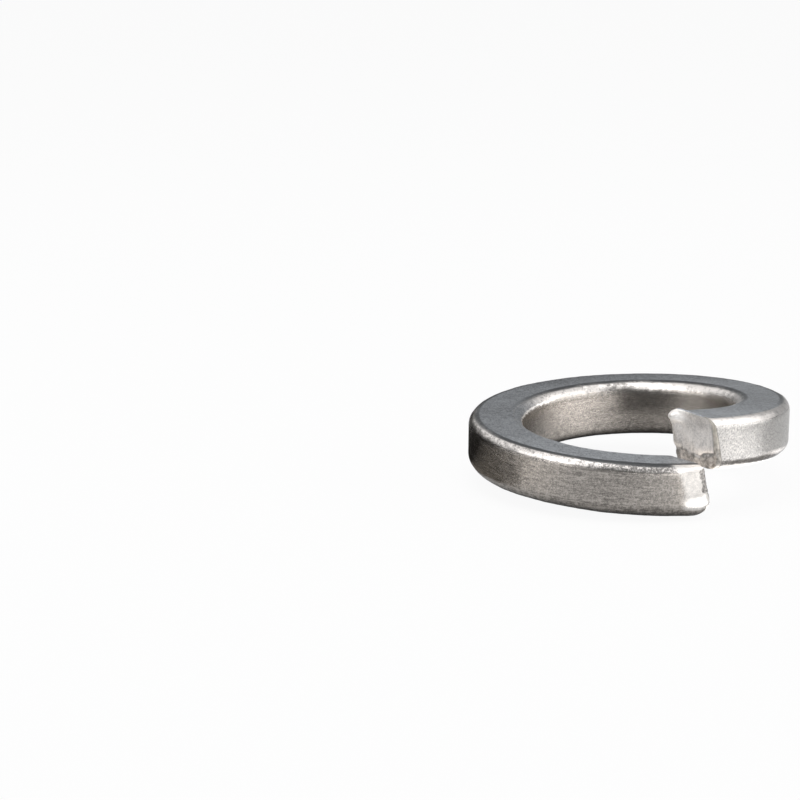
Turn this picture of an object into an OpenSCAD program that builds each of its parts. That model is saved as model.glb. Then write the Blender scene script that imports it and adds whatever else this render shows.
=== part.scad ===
// Spring lock washer, one turn of square wire coiled on edge and sheared off.
// Millimetres, +Z up, the bore's axis on Z and the lowest corner at z = 0.
// The coil runs clockwise as it rises, which is a left-hand helix: its ends bite
// when a right-hand nut is turned backwards.

/* [Wire] */
// Bore diameter
bore_diameter = 10.2; // [9.4:0.1:11.2]
// Width of the wire, from the bore to the rim
wire_width = 2.67; // [2.4:0.01:3]
// Thickness of the wire at the rim
wire_thickness = 2.47; // [2.3:0.01:2.9]
// How far the underside hangs lower at the bore, because coiling thickens the inner side
keystone = 0.2; // [0:0.01:0.3]
// Rise of the coil in one full turn
turn_rise = 2.17; // [2.1:0.01:2.7]

/* [Wire edges] */
// Radius of the upper edge along the rim
top_rim_radius = 0.5; // [0.2:0.01:0.6]
// Radius of the upper edge along the bore
top_bore_radius = 0.64; // [0.3:0.01:0.75]
// Radius of the lower edge along the rim
bottom_rim_radius = 0.57; // [0.3:0.01:0.7]
// Radius of the lower edge along the bore
bottom_bore_radius = 0.1; // [0.05:0.01:0.3]

/* [Split] */
// Direction of the lower end, in degrees counter-clockwise from +X
split_azimuth = -69.3; // [-90:0.1:90]
// Opening between the two ends at the rim
rim_gap = 0.31; // [0.25:0.01:0.7]
// Slant of the lower end's face seen from above, its rim corner nearer the opening
lower_skew = 17.8; // [12:0.1:22]
// Slant of the upper end's face seen from above, its rim corner further from the opening
upper_skew = 14; // [10:0.1:18]
// Lean of the lower end's face, its upper edge set back
lower_lean = 9.4; // [6:0.1:12]
// Lean of the upper end's face, its upper edge set forward
upper_lean = 8; // [5:0.1:11]

/* [Sheared ends] */
// Roll-over of the lower end's bottom edge
bottom_rollover = 0.55; // [0.3:0.01:0.7]
// Roll-over of the upper end's rim edge at the bottom, from where it narrows upwards
rim_rollover = 0.22; // [0.12:0.01:0.3]
// Length of the flat that the shear pressed into the rim at the lower end
press_length = 1.5; // [1.1:0.05:1.8]
// Depth of that flat at the end face
press_depth = 0.18; // [0.1:0.01:0.22]
// Height of the flat's lower edge above the underside
press_bottom = 0.9; // [0.7:0.01:1.1]
// Height of the burr on the upper end, at the bore
burr_height = 0.12; // [0.04:0.01:0.18]

/* [Hidden] */

bore_radius = bore_diameter / 2;
rim_radius = bore_radius + wire_width;
mean_radius = bore_radius + wire_width / 2;
degrees_per_radian = 180 / PI;

// The coil is made this much too wide on both sides, then trimmed by true cylinders.
trim = 0.03;

// Directions of the first and last facet of an edge radius, short of the wall's own.
wall_approach = 10;

// Length along the coil over which the burr dies out.
burr_length = 0.35;

// How far along the coil the slanted cuts put each face's rim corner from its middle.
lower_corner = tan(lower_skew) * wire_width / 2;
upper_corner = tan(upper_skew) * wire_width / 2;

// Travel of the coil at its middle, in radians, that leaves rim_gap between those corners.
travel = 2 * PI - (rim_gap + lower_corner - upper_corner) / rim_radius;
coil_length = travel * mean_radius;

// Distances along the coil, from an end, at which its section is drawn.
end_steps = [0, 0.02, 0.06, 0.12, 0.2, 0.3, 0.42, 0.56, 0.8, 1.1];
last_step = end_steps[len(end_steps) - 1];
body_steps = 116;
body_length = coil_length - 2 * last_step;
stations = concat(
    end_steps,
    [for (i = [1:body_steps - 1]) last_step + body_length * i / body_steps],
    [for (i = [len(end_steps) - 1:-1:0]) coil_length - end_steps[i]]
);

// One edge radius as points from angle a0 to a1 in equal steps.
function edge(centre, radius, a0, a1, steps) =
    [for (i = [0:steps])
        let (a = a0 + (a1 - a0) * i / steps)
        [centre[0] + radius * cos(a), centre[1] + radius * sin(a)]];

// The point where an edge's last facet, carried on at its own slope, is trim past the wall.
function past_wall(p, wall, side, up) =
    [wall + side * trim,
     p[1] + up * (trim + side * (wall - p[0])) / tan(wall_approach)];

// Square wire section before it is coiled, as [radius, height] going round once.
low_rim = edge([rim_radius - bottom_rim_radius, bottom_rim_radius],
               bottom_rim_radius, -90, -wall_approach, 5);
high_rim = edge([rim_radius - top_rim_radius, wire_thickness - top_rim_radius],
                top_rim_radius, wall_approach, 90, 5);
high_bore = edge([bore_radius + top_bore_radius, wire_thickness - top_bore_radius],
                 top_bore_radius, 90, 180 - wall_approach, 5);
low_bore = edge([bore_radius + bottom_bore_radius, bottom_bore_radius],
                bottom_bore_radius, 180 + wall_approach, 270, 2);
wire = concat(
    low_rim,
    [past_wall(low_rim[5], rim_radius, 1, 1), past_wall(high_rim[0], rim_radius, 1, -1)],
    high_rim,
    high_bore,
    [past_wall(high_bore[5], bore_radius, -1, -1),
     past_wall(low_bore[0], bore_radius, -1, 1)],
    low_bore
);

// Depth of a quarter-round of the given radius at a distance from the face.
function round_over(radius, distance) =
    distance >= radius ? 0 : radius - sqrt(radius * radius - pow(radius - distance, 2));

// A wire point as the sheared ends leave it, at distance s along the coil.
function formed(p, s) =
    let (
        to_upper = coil_length - s,
        inward = (rim_radius - p[0]) / wire_width,
        up = p[1] / wire_thickness,
        raise = round_over(bottom_rollover, s) - keystone * inward,
        lift = burr_height * max(0, 1 - to_upper / burr_length)
    )
    [p[0] - round_over(rim_rollover * sqrt(max(1 - up, 0.01)), to_upper) * (1 - inward),
     p[1] + raise * (1 - up) + lift * inward * up];

// Travel of the two end faces at a wire point, in radians.
function lower_face(p) =
    (tan(lower_lean) * (p[1] - wire_thickness / 2)
        - tan(lower_skew) * (p[0] - mean_radius)) / p[0];
function upper_face(p) =
    travel + (tan(upper_lean) * (p[1] - wire_thickness / 2)
        - tan(upper_skew) * (p[0] - mean_radius)) / p[0];

// The wire point carried along the helix to distance s.
function coiled(p, s) =
    let (
        q = formed(p, s),
        along = s / coil_length,
        u = lower_face(p) * (1 - along) + upper_face(p) * along,
        a = split_azimuth - u * degrees_per_radian
    )
    [q[0] * cos(a), q[0] * sin(a), q[1] + turn_rise * u / (2 * PI)];

function ring(s) = [for (p = wire) coiled(p, s)];
function mean(points) = [for (k = [0:2]) [for (p = points) p[k]] * [for (p = points) 1] / len(points)];

rings = [for (s = stations) ring(s)];
base_height = min([for (r = rings) for (p = r) p[2]]);

// The whole turn of wire, still too wide by trim at the bore and the rim.
module turn() {
    n = len(wire);
    m = len(rings);
    points = concat([for (r = rings) each r], [mean(rings[0]), mean(rings[m - 1])]);
    skin = [for (i = [0:m - 2]) for (j = [0:n - 1])
        let (a = i * n + j, b = i * n + (j + 1) % n)
        each [[a, b, b + n], [a, b + n, a + n]]];
    lower_cap = [for (j = [0:n - 1]) [m * n, (j + 1) % n, j]];
    upper_cap = [for (j = [0:n - 1]) [m * n + 1, (m - 1) * n + j, (m - 1) * n + (j + 1) % n]];
    translate([0, 0, -base_height])
        polyhedron(points = points, faces = concat(skin, lower_cap, upper_cap));
}

// What the shear pressed in at the lower end: all that is outside the flat, down to a
// shoulder that slopes out to the rim.
module pressed_away() {
    end = split_azimuth + lower_corner / rim_radius * degrees_per_radian;
    start = end - press_length / rim_radius * degrees_per_radian;
    from = rim_radius * [cos(start), sin(start)];
    to = (rim_radius - press_depth) * [cos(end), sin(end)];
    along = to - from;
    bottom = press_bottom - base_height;
    top = wire_thickness - base_height + 0.2;
    translate([from[0], from[1], 0])
        rotate(atan2(along[1], along[0]))
            translate([-0.5, 0, 0])
                rotate([90, 0, 90])
                    linear_extrude(0.5 + norm(along) + 0.15)
                        polygon([[0, bottom], [-1, bottom - 3], [-1, top], [0, top]]);
}

module lock_washer() {
    tall = wire_thickness + turn_rise + keystone + 4;
    color([0.6, 0.59, 0.57])
        intersection() {
            difference() {
                turn();
                translate([0, 0, -1]) cylinder(h = tall, r = bore_radius, $fn = 180);
                pressed_away();
            }
            translate([0, 0, -1]) cylinder(h = tall, r = rim_radius, $fn = 180);
        }
}

lock_washer();
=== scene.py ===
"""Looks of the spring lock washer: one turn of square steel wire with sheared ends.

The wire's section is drawn once, swept into a coil, and its ends are then formed as the
shear left them. Lengths in the dataclasses are in millimetres and become metres when a
mesh or a lamp is made.
"""

import logging
import math
from dataclasses import dataclass, field
from enum import Enum
from typing import Any, Callable, Iterable, Optional, Sequence, Union

import bpy
import numpy as np
from mathutils import Matrix, Vector, noise


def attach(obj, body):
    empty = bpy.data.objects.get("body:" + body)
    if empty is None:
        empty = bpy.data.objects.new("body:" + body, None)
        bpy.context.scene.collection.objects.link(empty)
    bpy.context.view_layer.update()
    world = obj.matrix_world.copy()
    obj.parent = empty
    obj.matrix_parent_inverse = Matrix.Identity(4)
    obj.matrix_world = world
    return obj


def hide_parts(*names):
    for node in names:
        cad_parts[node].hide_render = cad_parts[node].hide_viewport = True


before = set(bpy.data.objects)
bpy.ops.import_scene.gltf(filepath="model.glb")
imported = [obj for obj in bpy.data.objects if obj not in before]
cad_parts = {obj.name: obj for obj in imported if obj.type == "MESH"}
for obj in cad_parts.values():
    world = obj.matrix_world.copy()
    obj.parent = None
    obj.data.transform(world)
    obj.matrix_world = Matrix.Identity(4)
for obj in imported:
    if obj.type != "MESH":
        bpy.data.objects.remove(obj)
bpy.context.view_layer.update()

LOG = logging.getLogger("lock_washer")
MM = 0.001
NODE = "lock_washer"
BODY = "root"
Colour = tuple[float, float, float]
Array = np.ndarray


# Shader maths


class Value:
    """A number in a shader, which can be added, multiplied and compared like a float."""

    def __init__(self, graph: "Graph", socket: bpy.types.NodeSocket) -> None:
        """Wraps an output socket.

        Args:
            graph: the graph that new Math nodes go into.
            socket: the output socket that carries the number.
        """
        self.graph = graph
        self.socket = socket

    def _math(self, operation: str, *terms: Union["Value", float]) -> "Value":
        """Adds one Math node.

        Args:
            operation: the node's operation.
            terms: its inputs in order.

        Returns:
            The node's result.
        """
        inputs = {i: t for i, t in enumerate(terms)}
        node = self.graph.node("ShaderNodeMath", {"operation": operation}, inputs)
        return Value(self.graph, node.outputs[0])

    def __add__(self, other: Union["Value", float]) -> "Value":
        """Sum."""
        return self._math("ADD", self, other)

    __radd__ = __add__

    def __sub__(self, other: Union["Value", float]) -> "Value":
        """Difference."""
        return self._math("SUBTRACT", self, other)

    def __rsub__(self, other: float) -> "Value":
        """Difference with the number first."""
        return self._math("SUBTRACT", other, self)

    def __mul__(self, other: Union["Value", float]) -> "Value":
        """Product."""
        return self._math("MULTIPLY", self, other)

    __rmul__ = __mul__

    def __truediv__(self, other: Union["Value", float]) -> "Value":
        """Quotient."""
        return self._math("DIVIDE", self, other)

    def __pow__(self, other: float) -> "Value":
        """Power."""
        return self._math("POWER", self, other)

    def ramp(self, low: float, high: float) -> "Value":
        """Goes smoothly from 0 at low to 1 at high.

        Args:
            low: the number that gives 0.
            high: the number that gives 1.

        Returns:
            The smooth step between them.
        """
        node = self.graph.node(
            "ShaderNodeMapRange",
            {"interpolation_type": "SMOOTHSTEP"},
            {0: self, 1: low, 2: high, 3: 0.0, 4: 1.0},
        )
        return Value(self.graph, node.outputs[0])

    def bounded(self) -> "Value":
        """Kept between 0 and 1."""
        return self._math("MINIMUM", self._math("MAXIMUM", self, 0.0), 1.0)


class Graph:
    """The node tree of one material or of the world."""

    def __init__(self, tree: bpy.types.NodeTree) -> None:
        """Empties the tree.

        Args:
            tree: the node tree to build in.
        """
        self.tree = tree
        tree.nodes.clear()

    def node(
        self,
        kind: str,
        settings: Optional[dict[str, Any]] = None,
        inputs: Optional[dict[Union[int, str], Any]] = None,
    ) -> bpy.types.Node:
        """Adds a node, sets it and fills its sockets.

        Args:
            kind: the node's type.
            settings: attributes such as an operation, set first.
            inputs: socket name or number to a number, colour, Value or output socket.

        Returns:
            The new node.
        """
        node = self.tree.nodes.new(kind)
        for name, value in (settings or {}).items():
            setattr(node, name, value)
        for key, value in (inputs or {}).items():
            socket = node.inputs[key]
            if isinstance(value, Value):
                self.tree.links.new(value.socket, socket)
            elif isinstance(value, bpy.types.NodeSocket):
                self.tree.links.new(value, socket)
            elif isinstance(value, tuple) and len(value) == 3 and len(socket.default_value) == 4:
                socket.default_value = (*value, 1.0)
            else:
                socket.default_value = value
        return node

    def attribute(self, name: str) -> Value:
        """The number that the mesh carries under this name."""
        return Value(self, self.node("ShaderNodeAttribute", {"attribute_name": name}).outputs["Fac"])

    def noise(
        self, where: Any, scale: float, detail: float = 4.0, rough: float = 0.55, lacunarity: float = 2.0
    ) -> Value:
        """Cloudy noise between 0 and 1.

        Args:
            where: the socket with the position.
            scale: how fine it is.
            detail: how many finer layers it has.
            rough: how strong the finer layers are.
            lacunarity: how much finer each layer is.

        Returns:
            The noise.
        """
        node = self.node(
            "ShaderNodeTexNoise",
            {},
            {"Vector": where, "Scale": scale, "Detail": detail, "Roughness": rough, "Lacunarity": lacunarity},
        )
        return Value(self, node.outputs[0])

    def vector(self, x: Any, y: Any, z: Any) -> bpy.types.NodeSocket:
        """A vector from three numbers."""
        return self.node("ShaderNodeCombineXYZ", {}, {0: x, 1: y, 2: z}).outputs[0]

    def mix(self, factor: Any, a: Any, b: Any) -> bpy.types.NodeSocket:
        """Mixes two colours.

        Args:
            factor: 0 for the first colour, 1 for the second.
            a: the first colour or its socket.
            b: the second colour or its socket.

        Returns:
            The mixed colour's socket.
        """
        node = self.node("ShaderNodeMix", {"data_type": "RGBA"}, {0: factor})
        for socket, value in ((node.inputs[6], a), (node.inputs[7], b)):
            if isinstance(value, tuple):
                socket.default_value = (*value, 1.0)
            else:
                self.tree.links.new(value, socket)
        return node.outputs[2]

    def bump(self, height: Value, depth: float, under: Any = None) -> bpy.types.NodeSocket:
        """Turns a height between 0 and 1 into a bent normal.

        Args:
            height: the height.
            depth: how deep a height of 1 is, in metres.
            under: the normal that this one is laid over, if any.

        Returns:
            The normal's socket.
        """
        inputs: dict[Union[int, str], Any] = {"Height": height, "Distance": depth, "Strength": 1.0}
        if under is not None:
            inputs["Normal"] = under
        return self.node("ShaderNodeBump", {}, inputs).outputs[0]


# The wire and its sheared ends


@dataclass
class Wire:
    """The square wire, the coil that it makes and how its ends were sheared."""

    bore: float = 5.1
    width: float = 2.67
    thickness: float = 2.47
    keystone: float = 0.2
    rise: float = 2.17
    high_rim: float = 0.5
    high_bore: float = 0.64
    low_rim: float = 0.57
    low_bore: float = 0.1
    azimuth: float = -69.3
    rim_gap: float = 0.31
    lower_skew: float = 17.8
    upper_skew: float = 14.0
    lower_lean: float = 9.4
    upper_lean: float = 8.0
    bottom_rollover: float = 0.55
    rim_rollover: float = 0.22
    press_length: float = 1.5
    press_depth: float = 0.18
    press_bottom: float = 0.37
    burr: float = 0.12
    burr_length: float = 0.35
    corner_steps: int = 12
    side_steps: int = 22
    rings: int = 640

    @property
    def rim(self) -> float:
        """Radius of the rim."""
        return self.bore + self.width

    @property
    def mean(self) -> float:
        """Radius of the wire's middle."""
        return self.bore + self.width / 2

    @property
    def lower_corner(self) -> float:
        """How far the lower face's rim corner is from its middle, along the coil."""
        return tan_deg(self.lower_skew) * self.width / 2

    @property
    def upper_corner(self) -> float:
        """How far the upper face's rim corner is from its middle, along the coil."""
        return tan_deg(self.upper_skew) * self.width / 2

    @property
    def travel(self) -> float:
        """Angle that the wire turns through at its middle, in radians."""
        return 2 * math.pi - (self.rim_gap + self.lower_corner - self.upper_corner) / self.rim

    @property
    def length(self) -> float:
        """Length of the wire at its middle."""
        return self.travel * self.mean

    def climb(self, u: Any) -> Any:
        """How high the coil has risen at an angle of travel in radians."""
        return self.rise * u / (2 * math.pi)

    @property
    def around(self) -> int:
        """Number of points round the section."""
        return 4 * (self.corner_steps + self.side_steps)


def rounding(radius: Any, distance: Array) -> Array:
    """Depth of a quarter-round at a distance from the face it runs into.

    Args:
        radius: the quarter-round's radius.
        distance: distances from the face.

    Returns:
        How far the surface has fallen back there.
    """
    left = np.clip(radius - distance, 0.0, radius)
    return radius - np.sqrt(np.maximum(radius * radius - left * left, 0.0))


def fade(amount: float, distance: Array, length: float) -> Array:
    """A push that is full at the face and dies out smoothly over a length."""
    t = np.clip(1 - distance / length, 0.0, 1.0)
    return amount * t * t * (3 - 2 * t)


def step(value: Array, low: float, high: float) -> Array:
    """Goes smoothly from 0 at low to 1 at high."""
    t = np.clip((value - low) / (high - low), 0.0, 1.0)
    return t * t * (3 - 2 * t)


def clouds(points: Array, scale: float, seed: float, octaves: int = 3) -> Array:
    """Smooth noise between about -1 and 1 at each point.

    Args:
        points: positions, one row each.
        scale: how many cloud widths there are in one unit.
        seed: moves the noise, so that two calls differ.
        octaves: how many finer layers there are.

    Returns:
        One number for each point.
    """
    out = np.empty(len(points))
    for i, (x, y, z) in enumerate(points * scale):
        out[i] = noise.fractal(Vector((x + seed, y - seed, z)), 0.7, 2.0, octaves)
    return out


def tan_deg(angle: float) -> float:
    """Tangent of an angle in degrees."""
    return math.tan(math.radians(angle))


def read_points(mesh: bpy.types.Mesh) -> Array:
    """The mesh's points, one row each."""
    flat = np.empty(len(mesh.vertices) * 3)
    mesh.vertices.foreach_get("co", flat)
    return flat.reshape(-1, 3)


def write_points(mesh: bpy.types.Mesh, points: Array) -> None:
    """Moves the mesh's points."""
    mesh.vertices.foreach_set("co", points.ravel())


def carried_along(points: Array, old: Array, new: Array) -> Array:
    """Moves points as the outline round them moved.

    Args:
        points: the points inside the outline.
        old: the outline before.
        new: the outline after.

    Returns:
        The moved points.
    """
    away = np.linalg.norm(points[:, None] - old[None], axis=2)
    weight = 1 / np.maximum(away, 1e-6) ** 3
    weight /= weight.sum(axis=1, keepdims=True)
    return points + weight @ (new - old)


@dataclass
class LockWasher:
    """The washer: its wire is drawn, coiled, capped and formed, then given its finishes."""

    wire: Wire = field(default_factory=Wire)
    name: str = "washer_coil"

    def build(self) -> bpy.types.Object:
        """Makes the finished mesh.

        Returns:
            The washer's object, with its place in its mesh.
        """
        coil = self.coil_up(self.draw_section())
        self.cap_ends(coil)
        self.form(coil)
        self.close(coil)
        return coil

    def close(self, coil: bpy.types.Object) -> None:
        """Turns all faces outwards and shades them smooth.

        Args:
            coil: not used.
        """
        bpy.ops.object.mode_set(mode="EDIT")
        bpy.ops.mesh.select_all(action="SELECT")
        bpy.ops.mesh.normals_make_consistent(inside=False)
        bpy.ops.object.mode_set(mode="OBJECT")
        bpy.ops.object.shade_smooth()

    def draw_section(self) -> bpy.types.Object:
        """Draws the wire's section as a plane with rounded corners, standing on the XZ plane.

        Returns:
            The section's object, an outline with no face.
        """
        wire = self.wire
        bpy.ops.object.select_all(action="DESELECT")
        bpy.ops.mesh.primitive_plane_add(
            size=1.0, location=(wire.mean, 0.0, wire.thickness / 2), rotation=(math.pi / 2, 0.0, 0.0)
        )
        section = bpy.context.object
        section.name = self.name
        section.scale = (wire.width, wire.thickness, 1.0)
        bpy.ops.object.transform_apply(location=True, rotation=True, scale=True)
        bpy.ops.object.mode_set(mode="EDIT")
        bpy.ops.mesh.select_all(action="SELECT")
        bpy.ops.mesh.bevel(
            offset=wire.low_rim, segments=wire.corner_steps, affect="VERTICES", profile=0.5
        )
        self.subdivide_sides(section)
        bpy.ops.mesh.select_all(action="SELECT")
        bpy.ops.mesh.delete(type="ONLY_FACE")
        bpy.ops.object.mode_set(mode="OBJECT")
        return section

    def subdivide_sides(self, section: bpy.types.Object) -> None:
        """Divides the section's four straight sides.

        Args:
            section: the section, in edit mode.
        """
        bpy.ops.object.mode_set(mode="OBJECT")
        mesh = section.data
        longest = 0.5 * (self.wire.thickness - 2 * self.wire.low_rim)
        for vertex in mesh.vertices:
            vertex.select = False
        for face in mesh.polygons:
            face.select = False
        for edge in mesh.edges:
            a, b = (mesh.vertices[i].co for i in edge.vertices)
            edge.select = (a - b).length > longest
        bpy.ops.object.mode_set(mode="EDIT")
        bpy.ops.mesh.select_mode(type="EDGE")
        bpy.ops.mesh.subdivide(number_cuts=self.wire.side_steps - 1)

    def coil_up(self, section: bpy.types.Object) -> bpy.types.Object:
        """Sweeps the section into the coil with a Screw modifier.

        Args:
            section: the wire's outline.

        Returns:
            The same object, now an open tube of rings.
        """
        wire = self.wire
        screw = section.modifiers.new("coil", "SCREW")
        screw.axis = "Z"
        screw.angle = -wire.travel
        screw.screw_offset = wire.rise * wire.travel / (2 * math.pi)
        screw.steps = screw.render_steps = wire.rings
        screw.use_merge_vertices = False
        bpy.ops.object.modifier_apply(modifier=screw.name)
        return section

    def cap_ends(self, coil: bpy.types.Object) -> None:
        """Closes the tube's two ends with grids of faces.

        Args:
            coil: the open tube.
        """
        mesh = coil.data
        around = self.wire.around
        last = len(mesh.vertices) - around
        walls = len(mesh.polygons)
        for start in (0, last):
            ends = range(start, start + around)
            for vertex in mesh.vertices:
                vertex.select = vertex.index in ends
            for face in mesh.polygons:
                face.select = False
            for edge in mesh.edges:
                edge.select = all(i in ends for i in edge.vertices)
            bpy.ops.object.mode_set(mode="EDIT")
            bpy.ops.mesh.select_mode(type="EDGE")
            bpy.ops.mesh.fill_grid(span=around // 4, use_interp_simple=True)
            bpy.ops.object.mode_set(mode="OBJECT")
        for face in mesh.polygons:
            face.material_index = int(face.index >= walls)

    def form(self, coil: bpy.types.Object) -> None:
        """Moves every ring to its place on the helix and forms the ends.

        Args:
            coil: the capped tube.
        """
        wire = self.wire
        mesh = coil.data
        xyz = read_points(mesh)
        around, rings = wire.around, wire.rings + 1
        drawn = xyz[:around, [0, 2]]
        tube = around * rings
        turned = np.hypot(xyz[tube:, 0], xyz[tube:, 1])
        cap_size = (len(xyz) - tube) // 2
        at_upper = np.arange(len(xyz) - tube) >= cap_size
        cap_drawn = np.stack([turned, xyz[tube:, 2] - at_upper * wire.climb(wire.travel)], axis=1)

        slow = min(24 / wire.rings, 0.2)
        slow_length = 0.8
        s_ring = np.interp(
            np.linspace(0, 1, rings),
            [0, slow, 1 - slow, 1],
            [0, slow_length, wire.length - slow_length, wire.length],
        )
        radii = self.corner_radii(s_ring)
        sections = self.section_points(drawn, radii)
        s_all = np.repeat(s_ring, around)
        flat_sections = sections.reshape(-1, 2)

        cap_points = np.concatenate([
            carried_along(cap_drawn[~at_upper], drawn, sections[0]),
            carried_along(cap_drawn[at_upper], drawn, sections[-1]),
        ])
        p = np.concatenate([flat_sections, cap_points])
        s = np.concatenate([s_all, np.where(at_upper, wire.length, 0.0)])
        depth = np.zeros(len(p))
        depth[tube:] = 1.0
        place, q = self.coiled(p, s, depth)
        place = self.press_flat(place, p[:, 1] / wire.thickness, s)
        place = self.wear(place, p, s, depth)
        place[:, 2] -= self.base_height()
        write_points(mesh, place * MM)
        self.note(mesh, p, s)
        mesh.update()

    def corner_radii(self, s: Array) -> Array:
        """Radii of the wire's four edges along it, a little uneven as rolled wire is.

        Args:
            s: distances along the wire.

        Returns:
            One row for each distance: low rim, high rim, high bore, low bore.
        """
        wire = self.wire
        rows = []
        for k, radius in enumerate((wire.low_rim, wire.high_rim, wire.high_bore, wire.low_bore)):
            track = np.stack([s, np.zeros_like(s), np.full_like(s, 7.0 * k)], axis=1)
            uneven = 0.10 * clouds(track, 0.35, 3.1 + k, 2) + 0.05 * clouds(track, 2.2, 8.7 + k, 3)
            rows.append(radius * (1 + uneven))
        return np.stack(rows, axis=1)

    def section_points(self, drawn: Array, radii: Array) -> Array:
        """Redraws the section with the radii that each ring has.

        Args:
            drawn: the section's points as drawn, with one radius at all corners.
            radii: the four radii of each ring.

        Returns:
            For each ring, its section's points as radius and height.
        """
        wire = self.wire
        low = wire.low_rim
        middle = np.array([wire.mean, wire.thickness / 2])
        half = np.array([wire.width / 2, wire.thickness / 2])
        side = np.sign(drawn - middle)
        corner_of = {(1, -1): 0, (1, 1): 1, (-1, 1): 2, (-1, -1): 3}
        which = np.array([corner_of[(int(a) or 1, int(b) or 1)] for a, b in side])
        reach = np.abs(drawn - middle)
        core = half - low
        turn = np.clip(reach - core, 0.0, low) / low
        straight = np.minimum(reach, core) / core
        r = radii[:, which][:, :, None]
        out = straight[None] * (half - r) + turn[None] * r
        return middle + np.where(side == 0, 1, side)[None] * out

    def coiled(self, p: Array, s: Array, sheared: Array) -> tuple[Array, Array]:
        """Forms section points as the shear left them and carries them along the helix.

        Args:
            p: radius and height of each point in the plain section.
            s: its distance along the wire.
            sheared: not used.

        Returns:
            The points in space, and their formed radius and height.
        """
        wire = self.wire
        to_upper = wire.length - s
        inward = (wire.rim - p[:, 0]) / wire.width
        up = p[:, 1] / wire.thickness
        raised = rounding(wire.bottom_rollover, s) - wire.keystone * inward
        lift = fade(wire.burr, to_upper, wire.burr_length)
        q = np.stack([
            p[:, 0] - rounding(wire.rim_rollover * np.sqrt(np.maximum(1 - up, 0.01)), to_upper) * (1 - inward),
            p[:, 1] + raised * (1 - up) + lift * inward * up,
        ], axis=1)
        q[:, 0] -= rounding(0.2 * np.clip(0.9 - up, 0.1, 0.8) * (0.3 + 0.7 * step(up, 0.1, 0.4)), s) * (1 - inward)
        q[:, 0] -= 0.35 * np.maximum(self.chip_width(up) - s, 0.0) * (1 - inward)
        soft = rounding(0.05, np.minimum(s, to_upper))
        middle = np.array([wire.mean, wire.thickness / 2])
        q += (middle - q) * (soft / 1.3)[:, None]

        lean = p[:, 1] - wire.thickness / 2
        out = p[:, 0] - wire.mean
        lower = (tan_deg(wire.lower_lean) * lean - tan_deg(wire.lower_skew) * out) / p[:, 0]
        upper = wire.travel + (tan_deg(wire.upper_lean) * lean - tan_deg(wire.upper_skew) * out) / p[:, 0]
        along = s / wire.length
        ahead = self.torn(inward, up, to_upper) - self.torn_lower(inward, up, s)
        u = lower * (1 - along) + upper * along + ahead / p[:, 0]
        a = math.radians(wire.azimuth) - u
        place = np.stack([q[:, 0] * np.cos(a), q[:, 0] * np.sin(a), q[:, 1] + wire.climb(u)], axis=1)
        return place, q

    def torn(self, inward: Array, up: Array, to_upper: Array) -> Array:
        """How far the torn metal of the upper end stands out of its face.

        Args:
            inward: 0 at the rim to 1 at the bore.
            up: 0 at the underside to 1 at the top.
            to_upper: distance from the upper end's face.

        Returns:
            Lengths along the wire.
        """
        near = fade(1.0, to_upper, 0.5)
        spot = np.stack([inward * 2.67, up * 2.47, np.zeros_like(up)], axis=1)
        below = self.broken(inward, up)
        waves = 0.024 * clouds(spot, 1.3, 40.0, 4) + 0.012 * (1 + 2 * below) * clouds(spot, 5.0, 51.0, 3)
        lip = 0.21 * step(inward, 0.50, 1.0) * np.exp(-(((up - 0.85) / 0.09) ** 2))
        lip = lip * (1 + 0.6 * clouds(spot, 3.5, 63.0, 4)) + 0.05 * step(up, 0.86, 0.97)
        heel = 0.10 * step(inward, 0.72, 1.0) * step(up, 0.27, 0.37)
        foot = 0.02 * below * step(0.80 - inward, 0.0, 0.3)
        crease = 0.045 * self.crease(inward, up)
        return near * (waves + lip + heel + foot - crease)

    def chip_width(self, up: Array) -> Array:
        """How far along the rim the lower end's edge has broken away.

        Args:
            up: 0 at the underside to 1 at the top.

        Returns:
            Lengths along the wire, 0 where the edge is whole.
        """
        ragged = 0.20 + 0.035 * np.sin(17 * up + 0.6) + 0.02 * np.sin(53 * up)
        return ragged * step(up, 0.36, 0.44) * (1 - step(up, 0.86, 0.93))

    def crease_height(self, inward: Array) -> Array:
        """Height in the section of the crease on the upper end's face, as it wanders."""
        wander = 0.022 * np.sin(9 * inward + 1.0) + 0.012 * np.sin(23 * inward + 2.0) + 0.006 * np.sin(47 * inward)
        return 0.275 + wander - 0.05 * step(inward, 0.05, 0.5) + 0.06 * step(inward, 0.5, 0.95)

    def broken(self, inward: Array, up: Array) -> Array:
        """Where the metal of the upper end broke, below the crease: 1 there, 0 above."""
        return step(self.crease_height(inward) - up, -0.015, 0.03)

    def crease(self, inward: Array, up: Array) -> Array:
        """Where the clean cut on the upper end's face stops and the metal broke.

        Args:
            inward: 0 at the rim to 1 at the bore.
            up: 0 at the underside to 1 at the top.

        Returns:
            1 in the crease, 0 away from it.
        """
        line = np.exp(-(((up - self.crease_height(inward)) / 0.028) ** 2))
        return line * (0.35 + 0.65 * step(0.62 - inward, 0.0, 0.25)) * step(inward, 0.0, 0.05)

    def torn_lower(self, inward: Array, up: Array, s: Array) -> Array:
        """How far the torn metal of the lower end stands out of its face.

        Args:
            inward: 0 at the rim to 1 at the bore.
            up: 0 at the underside to 1 at the top.
            s: distance from the lower end's face.

        Returns:
            Lengths along the wire.
        """
        near = fade(1.0, s, 0.4)
        spot = np.stack([inward * 2.67, up * 2.47, np.full_like(up, 9.0)], axis=1)
        waves = 0.03 * clouds(spot, 1.2, 80.0, 4) + 0.018 * clouds(spot, 5.0, 91.0, 3)
        return near * waves

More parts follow.
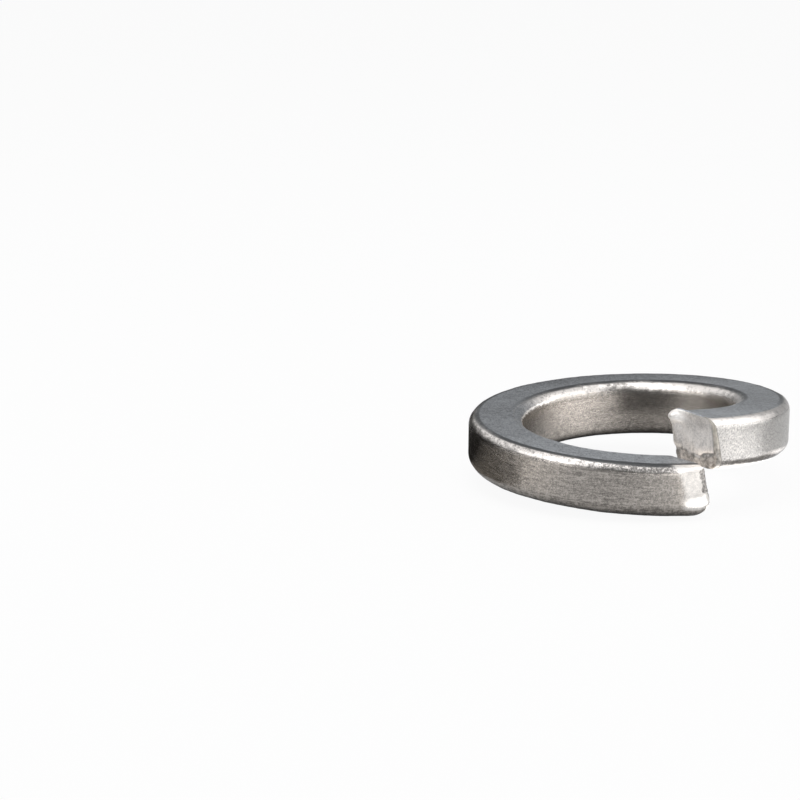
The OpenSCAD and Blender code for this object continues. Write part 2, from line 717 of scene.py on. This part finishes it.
    def base_height(self) -> float:
        """Height of the lowest corner before the washer is set down on z = 0.

        Returns:
            The lowest height of the coil without wear.
        """
        wire = self.wire
        s = np.linspace(0, wire.length * 0.2, 400)
        r = np.full_like(s, wire.bore + wire.low_bore)
        place, _ = self.coiled(np.stack([r, np.zeros_like(s)], axis=1), s, np.zeros_like(s))
        return float(place[:, 2].min())

    def press_flat(self, place: Array, up: Array, s: Array) -> Array:
        """Presses the shear's flat into the rim at the lower end.

        Args:
            place: points in space.
            up: their heights in the section, from 0 to 1.
            s: their distances along the wire.

        Returns:
            The points, those outside the flat moved back to it.
        """
        wire = self.wire
        end = math.radians(wire.azimuth) + wire.lower_corner / wire.rim
        start = end - wire.press_length / wire.rim
        a = wire.rim * np.array([math.cos(start), math.sin(start)])
        b = (wire.rim - wire.press_depth) * np.array([math.cos(end), math.sin(end)])
        way = (b - a) / np.linalg.norm(b - a)
        outward = np.array([way[1], -way[0]])
        over = np.maximum((place[:, :2] - a) @ outward, 0.0)
        near = (s < wire.length / 4) & ((place[:, :2] - a) @ way > 0)
        above = step(up, wire.press_bottom - 0.25, wire.press_bottom + 0.01)
        place[:, :2] -= np.where(near, over * above, 0.0)[:, None] * outward
        return place

    def wear(self, place: Array, p: Array, s: Array, sheared: Array) -> Array:
        """Adds the rolled wire's unevenness and the torn metal of the end faces.

        Args:
            place: points in space.
            p: their places in the plain section.
            s: not used.
            sheared: 1 for points inside an end face.

        Returns:
            The points with the fine relief.
        """
        wire = self.wire
        middle = np.array([wire.mean, wire.thickness / 2])
        out = (p - middle) / np.array([wire.width / 2, wire.thickness / 2])
        push = np.sign(out) * np.maximum(np.abs(out) - 0.55, 0.0) / 0.45
        size = np.maximum(np.linalg.norm(push, axis=1), 1e-6)
        push /= size[:, None]
        swell = 0.012 * clouds(place, 0.45, 21.0, 2) + 0.004 * clouds(place, 2.5, 5.0, 3)
        angle = np.arctan2(place[:, 1], place[:, 0])
        radial = np.stack([np.cos(angle), np.sin(angle), np.zeros_like(angle)], axis=1)
        move = push[:, :1] * radial + push[:, 1:] * np.array([0.0, 0.0, 1.0])
        place = place + np.where(sheared > 0, 0.0, swell)[:, None] * move
        return place

    def bruised(self, inward: Array, up: Array, s: Array) -> Array:
        """Where the shear rubbed the rim bright.

        Args:
            inward: 0 at the rim to 1 at the bore.
            up: 0 at the underside to 1 at the top.
            s: distance along the wire.

        Returns:
            1 on the lower end's flat, 0 elsewhere.
        """
        wire = self.wire
        rim = 1 - step(inward, 0.16, 0.24)
        bulge = 0.25 * np.sin(np.clip(up, 0, 1) * math.pi)
        flat = 1 - step(s + bulge, wire.press_length - 0.55, wire.press_length)
        return rim * flat * step(up, wire.press_bottom - 0.27, wire.press_bottom - 0.2)

    def rolled(self, inward: Array, up: Array, s: Array) -> Array:
        """Where the upper end's rim edge was rolled over: 1 there, 0 elsewhere."""
        wire = self.wire
        width = wire.rim_rollover * np.sqrt(np.maximum(1 - up, 0.01))
        return (1 - step(inward, 0.16, 0.24)) * (1 - step(wire.length - s, width - 0.03, width + 0.03))

    def note(self, mesh: bpy.types.Mesh, p: Array, s: Array) -> None:
        """Writes what the finishes read: the distance along the wire and the section's zones.

        Args:
            mesh: the washer's mesh.
            p: each point's place in the plain section.
            s: its distance along the wire.
        """
        wire = self.wire
        inward = (wire.rim - p[:, 0]) / wire.width
        up = p[:, 1] / wire.thickness
        edge = np.minimum(np.minimum(up, 1 - up) * wire.thickness, 0.6)
        wall = np.minimum(inward, 1 - inward) * wire.width
        for name, values in (
            ("along", s),
            ("inward", inward),
            ("up", up),
            ("from_face", edge),
            ("from_wall", wall),
            ("bruise", self.bruised(inward, up, s)),
            ("rolled", self.rolled(inward, up, s)),
            ("crease", self.crease(inward, up)),
            ("broken", self.broken(inward, up) * (s > wire.length / 2)),
            ("lip", step(inward, 0.55, 0.8) * step(up, 0.72, 0.82) * (s > wire.length / 2)),
            ("chipped", step(self.chip_width(up) - s, -0.03, 0.03) * (1 - step(inward, 0.10, 0.15))),
        ):
            mesh.attributes.new(name, "FLOAT", "POINT").data.foreach_set("value", values.astype(np.float32))


# Finishes


@dataclass(frozen=True)
class CoiledSteel:
    """Bare rolled and coiled spring steel: matt faces, brushed walls and bright edges."""

    name: str = "coiled_steel"
    face: Colour = (0.262, 0.272, 0.286)
    wall: Colour = (0.39, 0.362, 0.334)
    edge: Colour = (0.515, 0.49, 0.47)
    bruised: Colour = (0.70, 0.675, 0.65)

    def build(self) -> bpy.types.Material:
        """Makes the material.

        Returns:
            The material.
        """
        material = bpy.data.materials.new(self.name)
        material.use_nodes = True
        g = Graph(material.node_tree)
        place = g.node("ShaderNodeTexCoord").outputs["Object"]
        along, inward, up = g.attribute("along"), g.attribute("inward"), g.attribute("up")
        behind = Value(g, g.node("ShaderNodeSeparateXYZ", {}, {0: place}).outputs[1]).ramp(0.003, 0.007)
        across = up * 2.47
        radius = inward * 2.67
        grain = g.noise(place, 11500.0, 3.0, 0.7)
        mottle = g.noise(place, 3900.0, 5.0, 0.7)
        patch = g.noise(place, 520.0, 3.0, 0.5)
        streak = g.noise(g.vector(along * 1.2, radius * 11.0, across * 11.0), 1.6, 6.0, 0.75)
        long_streak = g.noise(g.vector(along * 0.25, radius * 2.6, across * 2.6), 1.7, 4.0, 0.6)

        jag = (mottle - 0.5) * 0.5 + (grain - 0.5) * 0.25
        on_face = (1.0 - g.attribute("from_face") / 0.05 + jag).ramp(0.1, 0.75)
        upper, inner = up.ramp(0.5, 0.6), inward.ramp(0.4, 0.6)
        on_wall = (1.0 - g.attribute("from_wall") * (20.0 - inner * 12.0) + jag * (1.0 + inner)).ramp(0.1, 0.75)
        on_edge = ((1.0 - on_face) * (1.0 - on_wall) * upper).bounded()
        seam = (on_wall * (1.0 - on_wall) * 3.0).bounded() * (1.0 - inner) * upper * (1.0 - along.ramp(33.0, 36.0) * 0.7)
        gap = g.attribute("from_wall") * (1.0 - inner * 0.22) + jag * 0.12
        near_end = 1.0 - along.ramp(3.5, 6.0)
        line = (patch * 0.6 + mottle * 0.4 + grain * 0.5 + near_end * 0.1).ramp(0.5, 0.78)
        line = line * (gap + near_end * 0.07).ramp(0.22, 0.32) * (1.0 - gap.ramp(0.46, 0.56)) * upper
        bruise = (g.attribute("bruise") * (1.0 - on_face) + jag * 0.8).ramp(0.05, 0.95)
        chipped = (g.attribute("chipped") + jag * 0.7).ramp(0.35, 0.65)
        rolled = g.attribute("rolled")

        at_right = along.ramp(33.0, 36.0)
        brushed = along.ramp(0.5, 3.0) * (1.0 - at_right * 0.85)
        in_bore = inward.ramp(0.88, 0.98)
        lines = ((streak - 0.5) * 0.95 + (long_streak - 0.5) * 0.35) * (1.0 - in_bore * 0.72)
        low = 1.0 - up.ramp(0.12, 0.3)
        specks = (mottle - 0.5) * (0.3 + low * 0.6) * (1.0 - at_right * 0.6) + (grain - 0.5) * 0.65
        specks = specks * (1.0 - in_bore * 0.4)
        wall_tone = (lines * brushed + specks + 0.5).ramp(0.3, 0.7)
        wall = g.mix(wall_tone, tuple(0.5 * c for c in self.wall), tuple(1.45 * c for c in self.wall))
        # Painted shade on the walls: darker at the foot of the rim and of the bore, over the whole bore and in a low
        # band on the rim near the upper end; the rim is also a little darker near the lower end.
        foot = 1.0 - up.ramp(0.02, 0.16)
        # Painted reflection: a dark patch on the bore wall at its back.
        painted_dark_patch = along.ramp(21.2, 22.8) * (1.0 - along.ramp(24.4, 26.6)) * (up + (patch - 0.5) * 0.2).ramp(0.3, 0.55)
        painted_wall_shade = in_bore * (painted_dark_patch * 0.5 + foot * 0.5 + 0.12) + (1.0 - up.ramp(0.02, 0.3)) * 0.3
        painted_wall_shade = painted_wall_shade + at_right * (1.0 - (up + jag * 0.1).ramp(0.03, 0.14)) * 0.45
        painted_wall_shade = (painted_wall_shade + along.ramp(0.8, 1.8) * (1.0 - along.ramp(5.0, 7.5)) * (1.0 - in_bore) * 0.08).bounded()
        wall = g.mix(painted_wall_shade, wall, (0.0, 0.0, 0.0))
        # Painted reflection: the bore wall is paler past the dark patch.
        wall = g.mix(in_bore * along.ramp(25.5, 27.5) * (1.0 - at_right) * 0.6, wall, (0.80, 0.75, 0.69))
        # Painted reflection: the rim near the upper end is greyer and flatter in tone.
        wall = g.mix(at_right * 0.6, wall, g.mix(wall_tone, (0.24, 0.24, 0.24), (0.56, 0.55, 0.54)))
        face_tone = (grain * 0.7 + mottle * 0.4 + patch * 0.2 + (grain - 0.5) * behind * 0.6).ramp(0.45, 0.85)
        face = g.mix(face_tone, tuple(0.5 * c for c in self.face), tuple(1.6 * c for c in self.face))
        # Painted shade: the top face is darkened towards the back, where the grain is also coarser.
        face = g.mix(behind * 0.46, face, (0.0, 0.0, 0.0))
        base = g.mix(on_face, wall, face)
        scuffed = 1.0 - along.ramp(2.5, 5.0)
        # Painted reflection: the inner edge is darker at the back of the bore.
        painted_dark_inner_edge = along.ramp(20.6, 21.6) * (1.0 - along.ramp(22.3, 23.0)) * inner
        scuffed = scuffed * along.ramp(0.9, 1.4) - (1.0 - along.ramp(0.9, 1.4)) * 0.8
        peppered = (grain - 0.5) * (1.0 - along.ramp(3.0, 6.0)) * (1.0 - inner) * 1.6
        # Painted highlight: the edge's tone is raised near the upper end.
        edge_tone = (mottle * 0.9 + grain * 0.6 + peppered - scuffed * 0.16 + inner * 0.08 + at_right * 0.12 - painted_dark_inner_edge * 0.17).ramp(0.56, 0.86)
        edge = g.mix(edge_tone, tuple(0.35 * c for c in self.edge), tuple(1.15 * c for c in self.edge))
        # Painted shade: the inner edge on the left takes the top face's darker colour and drops its dark line; it is
        # also rougher there.
        dull_and_painted_dark_edge = inner * (1.0 - along.ramp(13.0, 17.0))
        edge = g.mix(dull_and_painted_dark_edge, edge, face)
        base = g.mix(on_edge, base, edge)
        base = g.mix(line * (1.0 - at_right) * (1.0 - dull_and_painted_dark_edge) * 0.95, base, tuple(0.2 * c for c in self.face))
        # Painted highlight: a thin pale line along the inner edge on the left, where it meets the bore wall.
        painted_inner_highlight = (on_wall * (1.0 - on_wall) * 4.0).bounded() * upper * inner * along.ramp(10.0, 12.0)
        base = g.mix(painted_inner_highlight * (1.0 - along.ramp(16.0, 18.0)), base, (0.95, 0.92, 0.89))
        base = g.mix(seam * 0.85, base, tuple(0.3 * c for c in self.wall))
        base = g.mix(bruise, base, g.mix(mottle.ramp(0.3, 0.7), tuple(0.8 * c for c in self.bruised), self.bruised))
        base = g.mix(rolled, base, g.mix(mottle.ramp(0.3, 0.7), (0.42, 0.385, 0.335), (0.66, 0.62, 0.56)))
        rolled_low = rolled * (1.0 - (up + jag * 0.4).ramp(0.3, 0.62)) * 0.85
        base = g.mix(rolled_low, base, g.mix(mottle.ramp(0.35, 0.65), (0.13, 0.12, 0.112), (0.50, 0.47, 0.44)))
        base = g.mix((rolled * (1.0 - rolled) * 3.5).bounded() * 0.7, base, (0.05, 0.047, 0.045))
        base = g.mix(chipped, base, g.mix(grain.ramp(0.35, 0.65), (0.12, 0.114, 0.11), (0.44, 0.42, 0.40)))
        # Painted shade: the lower part of the lower end's last edge is darkened.
        last_edge = (1.0 - (along + jag * 0.1).ramp(0.03, 0.15)) * (1.0 - up.ramp(0.35, 0.45))
        base = g.mix(last_edge * 0.75, base, (0.16, 0.155, 0.15))

        rough = 0.25 + (streak - 0.5) * 0.14 * brushed + on_face * 0.19 + on_edge * (0.04 + dull_and_painted_dark_edge * 0.2)
        rough = rough + chipped * 0.25 + rolled * 0.15
        normal = g.bump((grain * 0.55 + mottle * 0.35) * (1.0 + on_edge * 0.8), 0.000014)
        normal = g.bump(streak * on_wall * brushed, 0.000014, normal)
        shader = g.node(
            "ShaderNodeBsdfPrincipled",
            {},
            {
                "Base Color": base,
                "Metallic": 1.0,
                "Roughness": rough.bounded(),
                "Normal": normal,
                "Anisotropic": 0.5,
                "Anisotropic Rotation": 0.25,
            },
        )
        g.node("ShaderNodeOutputMaterial", {}, {"Surface": shader.outputs[0]})
        return material


@dataclass(frozen=True)
class ShearedSteel:
    """The end faces: pale torn metal with smears down the way the blade went."""

    name: str = "sheared_steel"
    pale: Colour = (0.98, 0.935, 0.895)
    dark: Colour = (0.56, 0.53, 0.505)

    def build(self) -> bpy.types.Material:
        """Makes the material.

        Returns:
            The material.
        """
        material = bpy.data.materials.new(self.name)
        material.use_nodes = True
        g = Graph(material.node_tree)
        place = g.node("ShaderNodeTexCoord").outputs["Object"]
        inward, up = g.attribute("inward"), g.attribute("up")
        grain = g.noise(place, 11000.0, 4.0, 0.7)
        smear = g.noise(g.vector(inward * 14.0, up * 3.0, 0.0), 1.0, 6.0, 0.65)
        patch = g.noise(place, 900.0, 4.0, 0.55)
        tone = (smear * 0.3 + grain * 0.5 + patch * 0.6).ramp(0.52, 0.84)
        base = g.mix(tone, self.dark, self.pale)
        mottle = g.noise(place, 3600.0, 4.0, 0.7)
        broken = (g.attribute("broken") + (patch - 0.5) * 0.3).bounded()
        base = g.mix(broken * (0.35 + mottle.ramp(0.3, 0.65) * 0.6), base, tuple(0.3 * c for c in self.dark))
        # Painted shade in the crease on the upper end's face.
        crease = (g.attribute("crease") + (mottle - 0.5) * 1.4 + (patch - 0.5) * 0.8).ramp(0.3, 0.95)
        base = g.mix(crease * 0.65, base, tuple(0.25 * c for c in self.dark))
        # Painted shade along the end face's rim corner.
        edging = (1.0 - (inward + (mottle - 0.5) * 0.06).ramp(0.005, 0.035)) * up.ramp(0.2, 0.4)
        base = g.mix(edging * 0.55, base, tuple(0.3 * c for c in self.dark))
        chipped = (g.attribute("chipped") + (grain - 0.5) * 0.5).ramp(0.3, 0.6)
        base = g.mix(chipped, base, (0.26, 0.25, 0.24))
        # The lip is partly bright torn metal and partly a painted highlight.
        lip = g.attribute("lip").ramp(0.2, 0.9)
        base = g.mix(lip * (mottle * 0.6 + patch * 0.6).ramp(0.35, 0.75), base, (0.98, 0.955, 0.93))
        rough = (0.46 + (grain - 0.5) * 0.2 + lip * 0.08).bounded()
        normal = g.bump(grain * 0.5 + smear * 0.5, 0.000014)
        normal = g.bump(mottle * (0.35 + broken * 0.65 + lip * 1.2), 0.00005, normal)
        shader = g.node(
            "ShaderNodeBsdfPrincipled",
            {},
            {"Base Color": base, "Metallic": 1.0, "Roughness": rough, "Normal": normal},
        )
        g.node("ShaderNodeOutputMaterial", {}, {"Surface": shader.outputs[0]})
        return material


# The studio


class Facing(Enum):
    """Which way a card faces."""

    WASHER = "tilted to face the washer's middle"
    AXIS = "upright, facing the washer's axis"
    LYING = "flat, facing up"


@dataclass
class Card:
    """A card that only reflections see."""

    name: str
    centre: tuple[float, float, float]
    size: tuple[float, float]
    facing: Facing
    glow: Colour
    turn: float = 0.0

    def rotation(self) -> Matrix:
        """How the card is turned, its width level and its height up or away.

        Returns:
            The rotation, with the card's own turn in degrees about its normal.
        """
        x, y, z = self.centre
        spin = Matrix.Rotation(math.radians(self.turn), 3, "Z")
        if self.facing is Facing.LYING:
            return spin
        aim = Vector((-x, -y, 2.0 - z if self.facing is Facing.WASHER else 0.0))
        return aim.to_track_quat("Z", "Y").to_matrix() @ spin

    def build(self) -> bpy.types.Object:
        """Makes the card.

        Returns:
            The card's object.
        """
        bpy.ops.object.select_all(action="DESELECT")
        bpy.ops.mesh.primitive_plane_add(
            size=1.0, location=tuple(MM * c for c in self.centre), rotation=self.rotation().to_euler()
        )
        card = bpy.context.object
        card.name = self.name
        card.scale = (self.size[0] * MM, self.size[1] * MM, 1.0)
        material = bpy.data.materials.new(self.name)
        material.use_nodes = True
        g = Graph(material.node_tree)
        glow = g.node("ShaderNodeEmission", {}, {"Color": self.glow, "Strength": 1.0})
        g.node("ShaderNodeOutputMaterial", {}, {"Surface": glow.outputs[0]})
        card.data.materials.append(material)
        card.visible_camera = False
        card.visible_diffuse = False
        card.visible_shadow = False
        card.visible_transmission = False
        return card


@dataclass
class Studio:
    """The pale floor, the lamps, the cards that the metal mirrors and the camera."""

    wire: Wire

    def build(self) -> None:
        """Makes the whole studio."""
        self.world()
        self.floor()
        self.lamps()
        self.cards()
        self.camera()

    def world(self) -> None:
        """A white surround for the camera and an even grey one for everything else."""
        world = bpy.data.worlds.new("surround")
        bpy.context.scene.world = world
        world.use_nodes = True
        g = Graph(world.node_tree)
        path = g.node("ShaderNodeLightPath")
        white = g.node("ShaderNodeBackground", {}, {"Color": (1.0, 1.0, 1.0), "Strength": 1.0})
        grey = g.node("ShaderNodeBackground", {}, {"Color": (0.97, 0.985, 1.0), "Strength": 0.46})
        both = g.node(
            "ShaderNodeMixShader", {}, {0: path.outputs["Is Camera Ray"], 1: grey.outputs[0], 2: white.outputs[0]}
        )
        g.node("ShaderNodeOutputWorld", {}, {"Surface": both.outputs[0]})

    def floor(self) -> None:
        """A white floor on which the camera sees only a faint shadow."""
        bpy.ops.object.select_all(action="DESELECT")
        bpy.ops.mesh.primitive_plane_add(size=3.0, location=(0.0, 0.0, 0.0))
        floor = bpy.context.object
        floor.name = "floor"
        material = bpy.data.materials.new("floor")
        material.use_nodes = True
        g = Graph(material.node_tree)
        path = g.node("ShaderNodeLightPath")
        matt = g.node("ShaderNodeBsdfDiffuse", {}, {"Color": (0.86, 0.86, 0.86)})
        glow = g.node("ShaderNodeEmission", {}, {"Color": (1.0, 1.0, 1.0), "Strength": 1.0})
        seen = Value(g, path.outputs["Is Camera Ray"]) * 0.93
        both = g.node("ShaderNodeMixShader", {}, {0: seen, 1: matt.outputs[0], 2: glow.outputs[0]})
        g.node("ShaderNodeOutputMaterial", {}, {"Surface": both.outputs[0]})
        floor.data.materials.append(material)

    def lamp(self, name: str, place: Sequence[float], size: tuple[float, float], radiance: float) -> None:
        """Adds a soft rectangular lamp that faces the washer.

        Args:
            name: the lamp's name.
            place: its centre, in millimetres.
            size: its two sides, in millimetres.
            radiance: how bright its face looks, where 1 is white.
        """
        data = bpy.data.lights.new(name, "AREA")
        data.shape = "RECTANGLE"
        data.size, data.size_y = (MM * a for a in size)
        data.energy = radiance * math.pi * data.size * data.size_y
        lamp = bpy.data.objects.new(name, data)
        bpy.context.collection.objects.link(lamp)
        centre = Vector(place) * MM
        lamp.location = centre
        lamp.rotation_euler = (Vector((0, 0, 0.002)) - centre).to_track_quat("-Z", "Y").to_euler()
        lamp.visible_camera = False

    def lamps(self) -> None:
        """An overhead softbox, one low on the right and one on the left in front."""
        self.lamp("overhead", (-20.0, -20.0, 200.0), (150.0, 150.0), 2.6)
        self.lamp("right_side", (190.0, 10.0, 65.0), (90.0, 80.0), 2.6)
        self.lamp("left_front", (-150.0, -90.0, 120.0), (90.0, 90.0), 1.6)

    def cards(self) -> None:
        """What the metal mirrors: dark on the left behind, bright above and on the right."""
        for card in (
            Card("dim_left", (-14.5, -1.9, 0.12), (13.4, 7.7), Facing.LYING, (0.20, 0.185, 0.165)),
            Card("dark_left", (-14.5, 9.0, 0.12), (13.4, 14.0), Facing.LYING, (0.010, 0.009, 0.008)),
            Card("dark_behind", (-8.0, 11.0, 0.10), (12.0, 10.0), Facing.LYING, (0.010, 0.009, 0.008)),
            Card("dark_wall", (-22.0, 14.0, 5.0), (32.0, 12.0), Facing.AXIS, (0.010, 0.009, 0.008)),
            Card("dark_wall_back", (-9.0, 24.0, 3.2), (20.0, 6.6), Facing.AXIS, (0.010, 0.009, 0.008)),
            Card("light_right", (35.6, -20.6, 13.0), (76.0, 26.0), Facing.AXIS, (2.45, 2.45, 2.45)),
            Card("light_high_right", (46.0, 2.0, 42.0), (48.0, 40.0), Facing.WASHER, (2.2, 2.2, 2.2)),
            Card("light_high_left", (-94.0, 34.0, 110.0), (110.0, 80.0), Facing.WASHER, (1.5, 1.5, 1.5)),
            Card("light_floor_right", (13.7, -7.8, 0.14), (12.0, 10.5), Facing.LYING, (2.4, 2.4, 2.4)),
            Card("grey_beside_rim", (8.25, -4.35, 0.2), (3.3, 7.0), Facing.LYING, (0.36, 0.345, 0.33), -30.0),
            Card("dark_in_bore", (0.1, -0.7, 0.2), (3.0, 3.0), Facing.LYING, (0.010, 0.009, 0.008)),
            Card("grey_in_bore", (-1.8, -3.5, 0.2), (5.4, 2.6), Facing.LYING, (0.95, 0.92, 0.88)),
            Card("grey_at_left", (-3.7, -0.6, 0.2), (2.6, 3.2), Facing.LYING, (0.95, 0.92, 0.88)),
            Card("light_left_floor", (-15.5, -9.0, 0.12), (13.0, 6.2), Facing.LYING, (1.2, 1.16, 1.11)),
            Card("light_back_left", (-85.0, 105.0, 80.0), (110.0, 46.0), Facing.WASHER, (1.7, 1.7, 1.7)),
            Card("light_low_right", (7.9, -11.5, 0.16), (6.0, 6.0), Facing.LYING, (1.5, 1.48, 1.45), 45.0),
            Card("light_under_end", (4.0, -4.1, 0.18), (4.2, 4.4), Facing.LYING, (4.2, 4.1, 4.0), -50.0),
            Card("light_under_right", (5.2, 0.3, 0.18), (4.6, 7.0), Facing.LYING, (4.2, 4.1, 4.0), -14.0),
            Card("light_beyond", (11.3, -0.6, 0.12), (3.6, 7.0), Facing.LYING, (2.35, 2.3, 2.25), -9.0),
            Card("light_left", (-170.0, -60.0, 150.0), (220.0, 150.0), Facing.WASHER, (3.0, 3.0, 3.0)),
            Card("light_behind", (-20.0, 120.0, 230.0), (420.0, 130.0), Facing.WASHER, (1.2, 1.2, 1.2)),
            Card("light_front_right", (165.0, -150.0, 150.0), (190.0, 190.0), Facing.WASHER, (2.6, 2.6, 2.6)),
        ):
            card.build()

    def camera(self) -> None:
        """A long lens from a little above, set so that the washer falls where the photograph has it."""
        rim = self.wire.rim
        pixels, sensor = 800.0, 36.0
        scale, distance = 159.043, 15.6801
        elevation, roll = math.radians(12.5446), math.radians(-0.3864)
        off_x, off_y = (627.6161 - 400.0) / scale, -(432.1698 - 400.0) / scale
        right = Vector((1.0, 0.0, 0.0))
        up = Vector((0.0, math.sin(elevation), math.cos(elevation)))
        back = Vector((0.0, -math.cos(elevation), math.sin(elevation)))
        turned_right = math.cos(roll) * right - math.sin(roll) * up
        turned_up = math.sin(roll) * right + math.cos(roll) * up
        middle = Vector((0.0, 0.0, (self.wire.thickness + self.wire.rise) / 2 - LockWasher(self.wire).base_height()))
        place = middle + rim * (distance * back - off_x * turned_right - off_y * turned_up)
        data = bpy.data.cameras.new("camera")
        data.sensor_width = sensor
        data.lens = scale * distance / pixels * sensor
        data.clip_start, data.clip_end = 0.001, 10.0
        camera = bpy.data.objects.new("camera", data)
        bpy.context.collection.objects.link(camera)
        axes = Matrix((turned_right, turned_up, back)).transposed()
        camera.matrix_world = Matrix.Translation(place * MM) @ axes.to_4x4()
        bpy.context.scene.camera = camera


def main() -> None:
    """Builds the washer, its finishes, the floor, the lamps and the camera."""
    logging.basicConfig(level=logging.INFO, format="%(name)s: %(message)s")
    bpy.context.scene.view_settings.view_transform = "Standard"
    maker = LockWasher()
    washer = maker.build()
    for finish in (CoiledSteel(), ShearedSteel()):
        washer.data.materials.append(finish.build())
    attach(washer, BODY)
    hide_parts(NODE)
    LOG.info("%s: %d faces", washer.name, len(washer.data.polygons))
    Studio(maker.wire).build()


if __name__ == "__main__":
    main()
